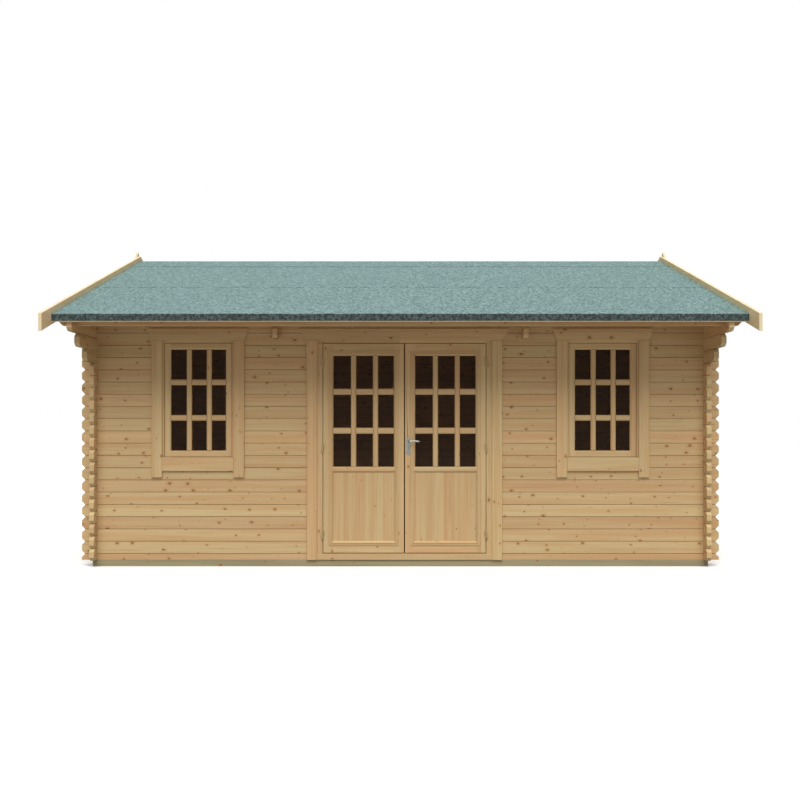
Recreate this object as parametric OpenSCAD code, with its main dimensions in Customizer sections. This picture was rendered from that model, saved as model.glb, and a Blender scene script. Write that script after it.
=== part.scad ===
// Log cabin with interlocking corners, a felted ridge roof, double doors and two windows.
// Millimetres. X runs along the front, the front faces -Y, Z is up.
// The origin is on the ground, in the middle of the plan.

/* [Logs] */
// Height of one wall log, from joint to joint
log_h = 114; // [95:1:140]
// Thickness of the logs
log_t = 45; // [28:1:70]
// How far the log ends stand past the corner
crown = 100; // [60:5:140]
// Chamfer at the top and bottom of each log end
log_end_chamfer = 30; // [10:1:30]
// Depth of the V joint between two logs
joint_v = 5; // [2:0.5:8]

/* [Walls] */
// Width over the outer faces of the side walls
wall_w = 5720; // [5200:10:7000]
// Depth over the outer faces of the front and back walls
wall_d = 3960; // [3200:10:4800]
// Height of the front and back walls at their outer face, above the bearers
wall_h = 2420; // [2360:5:2950]

/* [Base] */
// Height of the bearers and joists
bearer_h = 60; // [40:1:100]
// Width of the bearers and joists
bearer_w = 45; // [40:1:80]
// Number of joists
joist_count = 12; // [11:1:16]
// Thickness of the floor boards
floor_t = 19; // [16:1:28]
// Gap between the floor and the walls
floor_gap = 5; // [2:1:10]

/* [Roof] */
// Slope of the roof, in degrees
roof_pitch = 19.65; // [16:0.05:23]
// Reach of the felt edge in front of the long walls
eave_reach = 700; // [690:5:760]
// Reach of the roof boards past the side walls
gable_reach = 115; // [110:1:140]
// Thickness of the roof boards
board_t = 20; // [16:1:24]
// Thickness of the fascia
fascia_t = 20; // [16:1:24]
// Height of the fascia
fascia_h = 65; // [60:1:80]

/* [Felt] */
// Thickness of one layer of felt
felt_t = 3; // [2:0.5:4]
// Height of the felt that is folded down over the fascia
felt_fold = 55; // [30:1:58]
// Distance of the lap from the eave, measured on plan
felt_lap_at = 1139; // [900:1:1300]
// Width of the lap
felt_lap = 80; // [50:5:120]
// Reach of the ridge felt on each side, on plan
ridge_felt_reach = 370; // [250:5:450]

/* [Bargeboards] */
// Thickness of the bargeboards
barge_t = 28; // [18:1:35]
// Height of the bargeboards, measured plumb
barge_h = 149; // [130:1:180]
// Height of their top edge over the underside of the roof boards
barge_rise = 79; // [60:1:90]
// Reach of the bargeboards in front of the long walls
barge_reach = 915; // [780:5:950]
// Side of the diamond plate at the apex
finial_side = 150; // [120:1:180]
// Thickness of the diamond plate
finial_t = 20; // [12:1:25]
// Height of its top corner over the apex of the bargeboards
finial_rise = 46; // [20:1:60]

/* [Roof frame] */
// Step in length between one corbel log and the next
corbel_step = 190; // [160:5:195]
// Reach of the eave purlin's front face from the long wall
eave_purlin_reach = 565; // [500:5:600]
// Thickness of the purlins
purlin_t = 45; // [40:1:70]
// Height of the front and back purlins
purlin_h = 114; // [95:1:140]
// Height of the ridge purlin
ridge_purlin_h = 145; // [120:1:180]
// Distance of each tie log from the middle of the front
tie_x = 1155; // [1000:5:1300]
// Height of the truss rafters, measured plumb
rafter_h = 95; // [80:1:120]
// Width of the king posts
king_post_w = 95; // [80:1:120]
// Gap between each truss and the long walls
truss_gap = 5; // [2:1:10]

/* [Doorway] */
// Middle of the doorway from the middle of the front
door_x = 38; // [-100:1:100]
// Width between the jambs
doorway_w = 1522; // [1400:1:1560]
// Height of the door sill
door_sill_h = 58; // [45:1:70]
// Height of the underside of the door frame's head
door_head = 2015; // [1990:1:2025]
// Width of the jambs
jamb_w = 64; // [56:1:66]
// Height of the heads of the door and window frames
frame_head_h = 45; // [40:1:50]
// Depth of the door and window frames
frame_depth = 80; // [74:1:120]
// Width of the stop behind the leaves
stop_w = 20; // [12:1:24]

/* [Doors] */
// Thickness of a leaf
leaf_t = 44; // [40:1:54]
// Clearance round each leaf
leaf_gap = 5; // [5:0.5:8]
// Clearance between each leaf and the door sill
leaf_floor_gap = 7; // [5:1:12]
// Width of the stiles
stile_w = 94; // [80:1:110]
// Height of the top rail
top_rail_h = 113; // [90:1:130]
// Height of the rail under the glass
lock_rail_h = 54; // [35:1:140]
// Height of the bottom rail
bottom_rail_h = 110; // [60:1:130]
// Height of the lower panel
door_panel_h = 636; // [500:1:700]
// Thickness of the lower panel
door_panel_t = 20; // [12:1:24]
// Thickness of the glass in doors and windows
glass_t = 6; // [4:1:16]
// Width of the splay round the glass and the lower panels
splay_w = 14; // [6:1:17]
// Depth of the splay
splay_d = 12; // [6:1:14]

/* [Ironmongery] */
// Radius of the hinge barrels
hinge_r = 7; // [6:0.5:8]
// Height of each half of a hinge
hinge_half_h = 42; // [30:1:50]
// Length of the lug that holds a hinge barrel, from its axis
lug_w = 14; // [12:1:20]
// How much lower the lug is than the barrel at each end
lug_inset = 3; // [0:0.5:8]
// Height of the lowest and of the highest hinge from the ends of the leaf
hinge_inset = 170; // [120:5:250]
// Distance of the lock plate's middle from the meeting edge
lock_inset = 37; // [34:1:50]
// Height of the lever above the bearers
lever_z = 1100; // [950:5:1200]
// Width of the lock plate
plate_w = 52; // [40:1:56]
// Height of the lock plate
plate_h = 166; // [140:1:220]
// Thickness of the lock plate
plate_t = 3; // [2:0.5:5]
// Height of the lever above the plate's middle
lever_rise = 42; // [20:1:50]
// Length of the lever from its axis
lever_l = 95; // [80:1:130]
// Height of the lever's arm
lever_h = 18; // [14:1:22]
// Thickness of the lever's arm
lever_t = 10; // [8:1:14]
// Distance from the door's face to the lever's outer side
lever_reach = 48; // [40:1:60]
// Radius of the lever's neck
neck_r = 10; // [8:0.5:12]
// Radius of the spindle
spindle_r = 4; // [3:0.5:6]
// Radius of the hole in the leaf for the spindle
spindle_hole_r = 12; // [10:0.5:16]

/* [Windows] */
// Distance of each window's middle from the middle of the front
window_x = 1880; // [1600:5:1900]
// Width of the daylight opening in the window frame
window_w = 630; // [500:5:660]
// Height of the underside of the window opening
window_sill = 955; // [850:5:1100]
// Height of the head of the window opening
window_head = 2015; // [1990:1:2025]
// Width of the window frame's members
window_frame_w = 50; // [40:1:60]
// Thickness of the sash
sash_t = 45; // [36:1:54]
// Distance of the sash behind the wall's face
sash_setback = 5; // [2:1:10]
// Width of the sash members
sash_w = 57; // [45:1:70]
// Gap between the sash and the frame
sash_gap = 3; // [2:0.5:5]

/* [Trim] */
// Thickness of the trim boards
trim_t = 19; // [15:1:24]
// Joint between two trim boards
trim_joint = 1; // [1:0.5:2]
// Width of the side trims of the doorway
door_trim_w = 94; // [80:1:110]
// How much of the door frame shows inside the trim
door_reveal = 52; // [40:1:55]
// How far the door sill stands out between the trims
sill_nose = 12; // [6:1:18]
// Width of the side trims of the windows
window_trim_w = 98; // [80:1:110]
// How much of the window frame shows inside the trim
window_reveal = 17; // [10:1:30]
// How much of the frames' heads shows under the head trim
head_reveal = 25; // [15:1:35]
// Height of the head trims
head_trim_h = 108; // [90:1:120]
// How far each head trim widens from its bottom to its top, on each side
door_head_flare = 75; // [0:1:90]
// The same, over the windows
window_head_flare = 40; // [0:1:60]
// How much of the window frame's sill shows over the trim under it
window_bottom_reveal = 4; // [2:1:10]
// Height of the trim under the windows
window_bottom_trim_h = 124; // [90:1:140]
// How far the side trims of the windows run down past it
window_trim_tail = 60; // [0:1:80]

/* [Hidden] */
$fn = 48;

pine = "#d2ac74";
pale_pine = "#e3c48c";
treated = "#8f8a66";
felt = "#6f9b97";
steel = "#9aa39a";
pane = "#33241a";

// How far a cutting solid runs past what it cuts
slack = 1;
eps = 0.001;
// Clearance of the lever's neck in the lock plates
running_gap = 0.05;
// Clearance between the two halves of a hinge
hinge_gap = 0.3;
// Clearance between the roof boards and the ridge purlin, and between two sheets of felt
lay_gap = 0.05;

slope = tan(roof_pitch);
half_w = wall_w / 2;
half_d = wall_d / 2;
corner_x = half_w - log_t / 2;
corner_y = half_d - log_t / 2;
corbel_count = ceil((eave_purlin_reach - crown) / corbel_step);
corbel_reach = crown + corbel_count * corbel_step;
ridge_z = wall_h + half_d * slope;

// Joints of the front and back walls lie half a log above those of the side walls.
gable_log = floor(roof_z(half_d + corbel_reach) / log_h);
tie_log = gable_log - 1;
top_log = floor((wall_h + log_h / 4) / log_h);
last_log = ceil(ridge_z / log_h);
long_joints = [for (k = [0:last_log]) (k + 0.5) * log_h];
side_joints = [for (k = [0:last_log]) k * log_h];
gable_z = gable_log * log_h;
door_hole_top = door_head + frame_head_h;
split_z = (floor((door_hole_top - log_h / 2) / log_h) + 0.5) * log_h;

board_end = half_w + gable_reach;
board_plumb = board_t / cos(roof_pitch);
felt_plumb = felt_t / cos(roof_pitch);
eave_y = half_d + eave_reach;
fascia_y = eave_y - felt_t;
board_y = fascia_y - fascia_t;
fascia_bottom = roof_z(fascia_y) + board_plumb - fascia_h;
lap_y = eave_y - felt_lap_at;
lap_end = lap_y - felt_lap;
barge_y = half_d + barge_reach;
eave_purlin_y = half_d + eave_purlin_reach;
eave_purlin_z = gable_z - log_h / 2;
purlin_y = half_d / 2;

// The trusses: where the top edge of the rafters meets the long walls and the ridge purlin.
heel_y = half_d - log_t - truss_gap;
apex_z = ridge_z - ridge_purlin_h;
apex_half = (ridge_purlin_h - purlin_h) / slope;
floor_x = half_w - log_t - floor_gap;
floor_y = half_d - log_t - floor_gap;

door_hole_w = doorway_w + 2 * (jamb_w - leaf_gap / 2);
leaf_w = doorway_w / 2 - 2 * leaf_gap;
leaf_bottom = door_sill_h + leaf_floor_gap;
leaf_top = door_head - leaf_gap;
leaf_y = -half_d;
panel_z = leaf_bottom + bottom_rail_h;
leaf_glass_z = panel_z + door_panel_h + lock_rail_h;
leaf_glass_h = leaf_top - top_rail_h - leaf_glass_z;
frame_y0 = -half_d;
frame_y1 = frame_depth - half_d;
stop_y0 = leaf_t + leaf_gap - half_d;
door_trim_in = doorway_w / 2 + door_reveal;
hinge_x = leaf_w + leaf_gap / 2;
hinge_offset = hinge_r + 1;
hinge_z = [leaf_bottom + hinge_inset, (leaf_bottom + leaf_top) / 2, leaf_top - hinge_inset];
lug_h = hinge_half_h - 2 * lug_inset;
lever_x = door_x + leaf_gap + lock_inset;

window_hole_w = window_w + 2 * window_frame_w;
window_hole_z = window_sill - window_frame_w;
window_hole_top = window_head + frame_head_h;
sash_outer_w = window_w - 2 * sash_gap;
window_trim_in = window_w / 2 + window_reveal;
window_trim_z = window_sill - window_bottom_reveal;

// Height of the underside of the roof boards at a distance from the ridge.
function roof_z(y) = wall_h + (half_d - abs(y)) * slope;

function reversed(list) = [for (i = [len(list) - 1:-1:0]) list[i]];

// One edge of a stack of logs, from z0 up to z1, that faces side s and is cut back at each joint.
function log_edge(x, s, cut, joints, z0, z1) = concat(
    on_joint(z0, joints) ? [] : [[x, z0]],
    [for (z = joints) for (p = [[x, z - cut], [x - s * cut, z], [x, z + cut]])
        if (p[1] > z0 - eps && p[1] < z1 + eps) p],
    on_joint(z1, joints) ? [] : [[x, z1]]);
function on_joint(z, joints) = len([for (j = joints) if (abs(j - z) < eps) j]) > 0;

// Reach of log k of a side wall past the long walls.
function side_reach(k) = crown + max(0, k - (gable_log - 1 - corbel_count)) * corbel_step;

module at_base() translate([0, 0, bearer_h]) children();
// A figure in Y and Z, extruded from x0 to x1.
module along_x(x0, x1) translate([x0, 0, 0]) rotate([90, 0, 90]) linear_extrude(x1 - x0) children();
// A figure in X and Z, extruded from y0 to y1.
module along_y(y0, y1) translate([0, y1, 0]) rotate([90, 0, 0]) linear_extrude(y1 - y0) children();
// A figure in X and Y, extruded from z0 to z1.
module along_z(z0, z1) translate([0, 0, z0]) linear_extrude(z1 - z0) children();
module block(x0, x1, y0, y1, z0, z1) translate([x0, y0, z0]) cube([x1 - x0, y1 - y0, z1 - z0]);

// Section of a hole from a to b, that a splay widens at the face y. The material lies on side s.
function splayed(a, b, y, s) = [
    [a - splay_w, y - s * slack], [b + splay_w, y - s * slack], [b + splay_w, y],
    [b, y + s * splay_d], [a, y + s * splay_d], [a - splay_w, y]];
// A hole through a leaf or a sash of thickness t, splayed on both faces.
module splayed_hole(x0, x1, z0, z1, t) {
    block(x0, x1, -slack, t + slack, z0, z1);
    for (face = [[0, 1], [t, -1]]) intersection() {
        along_z(z0 - splay_w, z1 + splay_w) polygon(splayed(x0, x1, face[0], face[1]));
        along_x(x0 - splay_w, x1 + splay_w)
            polygon([for (p = splayed(z0, z1, face[0], face[1])) [p[1], p[0]]]);
    }
}

// What a long wall keeps where another log crosses it at x, y.
module long_bands(x, y)
    for (k = [0:top_log])
        translate([x - log_t / 2 - slack, y - log_t / 2, (k - 0.25) * log_h])
            cube([log_t + 2 * slack, log_t, k == top_log ? 2 * log_h : log_h / 2]);
// What a side wall keeps there.
module side_bands(x, y)
    for (k = [0:top_log - 1])
        translate([x - log_t / 2, y - log_t / 2 - slack, (k + 0.25) * log_h])
            cube([log_t, log_t + 2 * slack, log_h / 2]);
// What a tie log keeps where it passes through a long wall.
module tie_band(x, y)
    translate([x - log_t / 2, y - log_t / 2 - slack, (tie_log + 0.25) * log_h])
        cube([log_t, log_t + 2 * slack, log_h / 2]);

// Part of the front wall between x0 and x1, from z0 up to the height z1 of its outer face.
module front_logs(x0, x1, z0, z1, rise = 0) difference() {
    intersection() {
        along_x(x0, x1) polygon(concat(
            log_edge(-half_d, -1, joint_v, long_joints, z0, z1),
            reversed(log_edge(log_t - half_d, 1, joint_v, long_joints, z0, z1 + rise))));
        along_y(-half_d - slack, log_t - half_d + slack) polygon(concat(
            log_edge(half_w + crown, 1, log_end_chamfer, long_joints, z0, z1 + rise),
            reversed(log_edge(-half_w - crown, -1, log_end_chamfer, long_joints, z0, z1 + rise))));
    }
    for (s = [-1, 1]) {
        side_bands(s * corner_x, -corner_y);
        tie_band(s * tie_x, -corner_y);
    }
}
module door_hole()
    block(door_x - door_hole_w / 2, door_x + door_hole_w / 2, -half_d - slack, log_t - half_d + slack,
          -slack, door_hole_top);
module window_holes()
    for (s = [-1, 1])
        block(s * window_x - window_hole_w / 2, s * window_x + window_hole_w / 2,
              -half_d - slack, log_t - half_d + slack, window_hole_z, window_hole_top);

module front_wall_left() color(pine) at_base() difference() {
    front_logs(-half_w - crown, door_x - door_hole_w / 2, 0, split_z);
    window_holes();
}
module front_wall_right() color(pine) at_base() difference() {
    front_logs(door_x + door_hole_w / 2, half_w + crown, 0, split_z);
    window_holes();
}
module front_wall_top() color(pine) at_base() difference() {
    front_logs(-half_w - crown, half_w + crown, split_z, wall_h, log_t * slope);
    door_hole();
    window_holes();
}
module back_wall() color(pine) at_base() mirror([0, 1, 0])
    front_logs(-half_w - crown, half_w + crown, 0, wall_h, log_t * slope);

// The figures of a side wall: its thickness with the V joints, and its outline with the corbels.
module side_profile(z0, z1) polygon(concat(
    log_edge(half_w, 1, joint_v, side_joints, z0, z1),
    reversed(log_edge(half_w - log_t, -1, joint_v, side_joints, z0, z1))));
function side_outline(s) = [for (k = [0:gable_log - 1]) for (p = [
    [half_d + side_reach(k) - log_end_chamfer, k * log_h, k == 0 || side_reach(k) != side_reach(k - 1)],
    [half_d + side_reach(k), k * log_h + log_end_chamfer, true],
    [half_d + side_reach(k), (k + 1) * log_h - log_end_chamfer, true],
    [half_d + side_reach(k) - log_end_chamfer, (k + 1) * log_h, true]]) if (p[2]) [s * p[0], p[1]]];

module right_wall() color(pine) at_base() difference() {
    intersection() {
        along_y(-half_d - corbel_reach, half_d + corbel_reach) side_profile(0, gable_z);
        along_x(half_w - log_t - slack, half_w + slack)
            polygon(concat(side_outline(1), reversed(side_outline(-1))));
    }
    for (s = [-1, 1]) {
        long_bands(corner_x, s * corner_y);
        eave_purlin_band(corner_x, s);
    }
}
module left_wall() mirror([1, 0, 0]) right_wall();

module right_gable() color(pine) at_base() difference() {
    intersection() {
        along_y(-half_d - corbel_reach, half_d + corbel_reach) side_profile(gable_z, ridge_z);
        along_x(half_w - log_t - slack, half_w + slack) polygon([
            [-half_d - corbel_reach, gable_z], [half_d + corbel_reach, gable_z],
            [half_d + corbel_reach, roof_z(half_d + corbel_reach)], [0, ridge_z],
            [-half_d - corbel_reach, roof_z(half_d + corbel_reach)]]);
    }
    for (s = [-1, 1]) {
        long_bands(corner_x, s * corner_y);
        eave_purlin_band(corner_x, s);
        purlin_hole(s);
    }
    ridge_purlin_hole();
}
module left_gable() mirror([1, 0, 0]) right_gable();

module tie_log_at(x) color(pine) at_base() difference() {
    along_x(x - log_t / 2, x + log_t / 2) polygon(concat(
        log_edge(half_d + crown, 1, log_end_chamfer, side_joints, tie_log * log_h, gable_z),
        reversed(log_edge(-half_d - crown, -1, log_end_chamfer, side_joints, tie_log * log_h, gable_z))));
    for (s = [-1, 1]) long_bands(x, s * corner_y);
}
module left_tie_log() tie_log_at(-tie_x);
module right_tie_log() tie_log_at(tie_x);

// The eave purlins cross the side walls on the joints of the long walls.
module eave_purlin_band(x, s)
    translate([x - log_t / 2 - slack, s > 0 ? eave_purlin_y - purlin_t : -eave_purlin_y,
               (gable_log - 0.25) * log_h])
        cube([log_t + 2 * slack, purlin_t, log_h / 2]);
module back_eave_purlin() color(pine) at_base() difference() {
    intersection() {
        along_x(-half_w - crown, half_w + crown) polygon([
            [eave_purlin_y - purlin_t, eave_purlin_z], [eave_purlin_y, eave_purlin_z],
            [eave_purlin_y, roof_z(eave_purlin_y)],
            [eave_purlin_y - purlin_t, roof_z(eave_purlin_y - purlin_t)]]);
        along_y(eave_purlin_y - purlin_t - slack, eave_purlin_y + slack) polygon(concat(
            log_edge(half_w + crown, 1, log_end_chamfer, long_joints, eave_purlin_z, gable_z + log_h),
            reversed(log_edge(-half_w - crown, -1, log_end_chamfer, long_joints,
                              eave_purlin_z, gable_z + log_h))));
    }
    for (s = [-1, 1], z = [[eave_purlin_z - slack, gable_z - log_h / 4], [gable_z + log_h / 4, ridge_z]])
        block(s * corner_x - log_t / 2, s * corner_x + log_t / 2,
              eave_purlin_y - purlin_t - slack, eave_purlin_y + slack, z[0], z[1]);
}
module front_eave_purlin() mirror([0, 1, 0]) back_eave_purlin();

module purlin_figure() polygon([for (p = [[-1, 0], [1, 0], [1, -1], [-1, -1]])
    [purlin_y + p[0] * purlin_t / 2, roof_z(purlin_y + p[0] * purlin_t / 2) + p[1] * purlin_h]]);
module ridge_purlin_figure() polygon([
    [-purlin_t / 2, ridge_z - ridge_purlin_h], [purlin_t / 2, ridge_z - ridge_purlin_h],
    [purlin_t / 2, roof_z(purlin_t / 2) - lay_gap], [0, ridge_z - lay_gap],
    [-purlin_t / 2, roof_z(purlin_t / 2) - lay_gap]]);
// The purlins lie in notches that are open to the roof boards.
module purlin_hole(s)
    along_x(half_w - log_t - slack, half_w + slack)
        polygon([for (p = [[-1, 1], [1, 1], [1, -1], [-1, -1]])
            [s * (purlin_y + p[0] * purlin_t / 2),
             roof_z(purlin_y + p[0] * purlin_t / 2) + (p[1] < 0 ? -purlin_h : log_h)]]);
module ridge_purlin_hole()
    block(half_w - log_t - slack, half_w + slack, -purlin_t / 2, purlin_t / 2,
          ridge_z - ridge_purlin_h, ridge_z + slack);
module back_purlin() color(pine) at_base() along_x(-half_w - crown, half_w + crown) purlin_figure();
module front_purlin() mirror([0, 1, 0]) back_purlin();
module ridge_purlin() color(pine) at_base() along_x(-half_w - crown, half_w + crown) ridge_purlin_figure();

// Rafters under the purlins and a king post under the ridge purlin, on a tie log.
module truss_at(x) color(pine) at_base() along_x(x - log_t / 2, x + log_t / 2) difference() {
    polygon([[-heel_y, gable_z], [heel_y, gable_z], [heel_y, roof_z(heel_y) - purlin_h],
             [apex_half, apex_z], [-apex_half, apex_z], [-heel_y, roof_z(heel_y) - purlin_h]]);
    for (s = [-1, 1]) polygon([
        [s * king_post_w / 2, gable_z - slack], [s * rafter_foot(gable_z - slack), gable_z - slack],
        [s * king_post_w / 2, roof_z(king_post_w / 2) - purlin_h - rafter_h]]);
}
// Where the lower edge of the truss rafters is at height z.
function rafter_foot(z) = (ridge_z - purlin_h - rafter_h - z) / slope;
module left_truss() truss_at(-tie_x);
module right_truss() truss_at(tie_x);

// The base: bearers under the long walls, joists between them, floor boards on top.
module back_bearer() color(treated) block(-half_w, half_w, half_d - bearer_w, half_d, 0, bearer_h);
module front_bearer() mirror([0, 1, 0]) back_bearer();
module floor_joists() color(treated)
    for (i = [0:joist_count - 1])
        translate([-half_w + i * (wall_w - bearer_w) / (joist_count - 1), bearer_w - half_d, 0])
            cube([bearer_w, wall_d - 2 * bearer_w, bearer_h]);
module floor() color(pale_pine) at_base() block(-floor_x, floor_x, -floor_y, floor_y, 0, floor_t);

// The roof cover.
module back_roof_boards() color(pale_pine) at_base() along_x(-board_end, board_end) polygon([
    [0, ridge_z], [board_y, roof_z(board_y)], [board_y, roof_z(board_y) + board_plumb],
    [0, ridge_z + board_plumb]]);
module front_roof_boards() mirror([0, 1, 0]) back_roof_boards();

module back_fascia() color(pale_pine) at_base() along_x(-board_end, board_end) polygon([
    [board_y, fascia_bottom], [fascia_y, fascia_bottom], [fascia_y, roof_z(fascia_y) + board_plumb],
    [board_y, roof_z(board_y) + board_plumb]]);
module front_fascia() mirror([0, 1, 0]) back_fascia();

// Height of the top of the given number of felt layers.
function felt_z(y, layers) = roof_z(y) + board_plumb + layers * felt_plumb;
module back_felt() color(felt) at_base() along_x(-board_end, board_end) polygon([
    [0, felt_z(0, 0)], [fascia_y, felt_z(fascia_y, 0)], [fascia_y, felt_z(eave_y, 1) - felt_fold],
    [eave_y, felt_z(eave_y, 1) - felt_fold], [eave_y, felt_z(eave_y, 1)],
    [lap_y, felt_z(lap_y, 1)], [lap_y, felt_z(lap_y, 2)],
    [lap_end, felt_z(lap_end, 2)], [lap_end - slack, felt_z(lap_end - slack, 1)],
    [0, felt_z(0, 1)]]);
module front_felt() mirror([0, 1, 0]) back_felt();
module ridge_felt() color(felt) at_base() translate([0, 0, lay_gap]) along_x(-board_end, board_end) polygon([
    [-ridge_felt_reach, felt_z(ridge_felt_reach, 1)], [0, felt_z(0, 1)],
    [ridge_felt_reach, felt_z(ridge_felt_reach, 1)], [ridge_felt_reach, felt_z(ridge_felt_reach, 2)],
    [0, felt_z(0, 2)], [-ridge_felt_reach, felt_z(ridge_felt_reach, 2)]]);

module right_bargeboards() color(pale_pine) at_base() along_x(board_end, board_end + barge_t)
    for (s = [-1, 1]) polygon([for (p = [[0, 0], [1, 0], [1, 1], [0, 1]])
        let (y = p[0] == 0 ? trim_joint / 2 : barge_y)
        [s * y, roof_z(y) + barge_rise - (1 - p[1]) * barge_h]]);
module left_bargeboards() mirror([1, 0, 0]) right_bargeboards();
module right_finial() color(pale_pine) at_base()
    along_x(board_end + barge_t, board_end + barge_t + finial_t)
        translate([0, ridge_z + barge_rise + finial_rise - finial_side / sqrt(2)])
            rotate(45) square(finial_side, center = true);
module left_finial() mirror([1, 0, 0]) right_finial();

// The doorway. The head piece lies on the jambs with a joint.
module door_frame() color(pine) at_base() translate([door_x, 0, 0]) {
    for (s = [-1, 1]) {
        jamb_in = s * doorway_w / 2;
        jamb_out = s * door_hole_w / 2;
        jamb_stop = s * (doorway_w / 2 - stop_w);
        block(min(jamb_in, jamb_out), max(jamb_in, jamb_out), frame_y0, frame_y1,
              door_sill_h, door_head - trim_joint);
        block(min(jamb_stop, jamb_in), max(jamb_stop, jamb_in), stop_y0, frame_y1,
              door_sill_h, door_head - trim_joint);
    }
    block(-door_hole_w / 2, door_hole_w / 2, frame_y0, frame_y1, door_head, door_hole_top);
}
module door_sill() color(pine) at_base() translate([door_x, 0, 0]) {
    block(-door_hole_w / 2, door_hole_w / 2, -half_d, log_t - half_d, 0, door_sill_h);
    block(-door_hole_w / 2, door_hole_w / 2, log_t - half_d, frame_y1, floor_t, door_sill_h);
    block(-door_trim_in, door_trim_in, -half_d - sill_nose, -half_d, 0, door_sill_h);
}

// A head trim that widens upwards, on two side trims.
module head_trim(w, flare, z) along_y(-half_d - trim_t, -half_d) polygon([
    [-w / 2, z], [w / 2, z], [w / 2 + flare, z + head_trim_h], [-w / 2 - flare, z + head_trim_h]]);
module door_trim() color(pine) at_base() translate([door_x, 0, 0]) {
    for (s = [-1, 1]) mirror([s > 0 ? 0 : 1, 0, 0])
        block(door_trim_in, door_trim_in + door_trim_w, -half_d - trim_t, -half_d,
              0, door_head + head_reveal - trim_joint);
    head_trim(2 * (door_trim_in + door_trim_w), door_head_flare, door_head + head_reveal);
}

// The leaves are drawn for a hinge at the right, with X = 0 at the meeting edge's clearance.
module leaf_frame() translate([0, leaf_y, 0]) difference() {
    block(0, leaf_w, 0, leaf_t, leaf_bottom, leaf_top);
    splayed_hole(stile_w, leaf_w - stile_w, panel_z, panel_z + door_panel_h, leaf_t);
    splayed_hole(stile_w, leaf_w - stile_w, leaf_glass_z, leaf_glass_z + leaf_glass_h, leaf_t);
}
module leaf_panel() translate([0, leaf_y, 0])
    block(stile_w, leaf_w - stile_w, (leaf_t - door_panel_t) / 2, (leaf_t + door_panel_t) / 2,
          panel_z, panel_z + door_panel_h);
module leaf_glass() translate([0, leaf_y, 0])
    block(stile_w, leaf_w - stile_w, (leaf_t - glass_t) / 2, (leaf_t + glass_t) / 2,
          leaf_glass_z, leaf_glass_z + leaf_glass_h);
module at_leaf(s) at_base() translate([door_x, 0, 0]) mirror([s > 0 ? 0 : 1, 0, 0])
    translate([leaf_gap, 0, 0]) children();

// Half of a hinge: a barrel on the hinge axis and a lug onto the leaf or the jamb.
module hinge_half(z, side) translate([hinge_x, leaf_y - hinge_offset, z]) {
    cylinder(r = hinge_r, h = hinge_half_h);
    translate([side < 0 ? -lug_w : 0, -hinge_r / 2, lug_inset])
        cube([lug_w, hinge_offset + hinge_r / 2, lug_h]);
}
module leaf_hinges() for (z = hinge_z) hinge_half(z + hinge_gap / 2, -1);
module frame_hinge_set() for (z = hinge_z) hinge_half(z - hinge_gap / 2 - hinge_half_h, 1);
module frame_hinges() color(steel) {
    at_leaf(1) frame_hinge_set();
    at_leaf(-1) frame_hinge_set();
}

module left_leaf() color(pine) at_leaf(-1) leaf_frame();
module left_leaf_panel() color(pine) at_leaf(-1) leaf_panel();
module left_leaf_glass() color(pane) at_leaf(-1) leaf_glass();
module left_leaf_hinges() color(steel) at_leaf(-1) leaf_hinges();
module right_leaf() color(pine) difference() {
    at_leaf(1) leaf_frame();
    at_lever() along_y(-slack, leaf_t + slack) circle(r = spindle_hole_r);
}
module right_leaf_panel() color(pine) at_leaf(1) leaf_panel();
module right_leaf_glass() color(pane) at_leaf(1) leaf_glass();
module right_leaf_hinges() color(steel) at_leaf(1) leaf_hinges();

module at_lever() at_base() translate([lever_x, leaf_y, lever_z]) children();
// A lock plate of thickness plate_t on each face of the leaf.
module plate_figure() difference() {
    union() {
        for (s = [-1, 1]) translate([0, s * (plate_h - plate_w) / 2 - lever_rise]) circle(d = plate_w);
        translate([0, -lever_rise]) square([plate_w, plate_h - plate_w], center = true);
    }
    circle(r = neck_r + running_gap);
}
module lock_plates() color(steel) at_lever() {
    along_y(-plate_t, 0) plate_figure();
    along_y(leaf_t, leaf_t + plate_t) plate_figure();
}
module lever_arm() {
    translate([0, -lever_h / 2]) square([lever_l - lever_h / 2, lever_h]);
    for (x = [0, lever_l - lever_h / 2]) translate([x, 0]) circle(d = lever_h);
}
module lever_handle() color(steel) at_lever() {
    for (y = [[-lever_reach, -lever_reach + lever_t], [leaf_t + lever_reach - lever_t, leaf_t + lever_reach]])
        along_y(y[0], y[1]) lever_arm();
    along_y(-lever_reach + lever_t, 0) circle(r = neck_r);
    along_y(leaf_t, leaf_t + lever_reach - lever_t) circle(r = neck_r);
    along_y(0, leaf_t) circle(r = spindle_r);
}

// The windows.
module window_frame_at(x) color(pine) at_base() translate([x, 0, 0]) {
    window_in = window_w / 2;
    window_out = window_hole_w / 2;
    sash_back = sash_setback + sash_t - half_d;
    stop_in = window_in - stop_w;
    for (s = [-1, 1]) mirror([s > 0 ? 0 : 1, 0, 0]) {
        block(window_in, window_out, frame_y0, frame_y1, window_sill + trim_joint, window_head - trim_joint);
        block(stop_in, window_in, sash_back, frame_y1, window_sill + trim_joint, window_head - trim_joint);
    }
    block(-window_out, window_out, frame_y0, frame_y1, window_hole_z, window_sill);
    block(-window_out, window_out, frame_y0, frame_y1, window_head, window_hole_top);
}
module left_window_frame() window_frame_at(-window_x);
module right_window_frame() window_frame_at(window_x);

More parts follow.
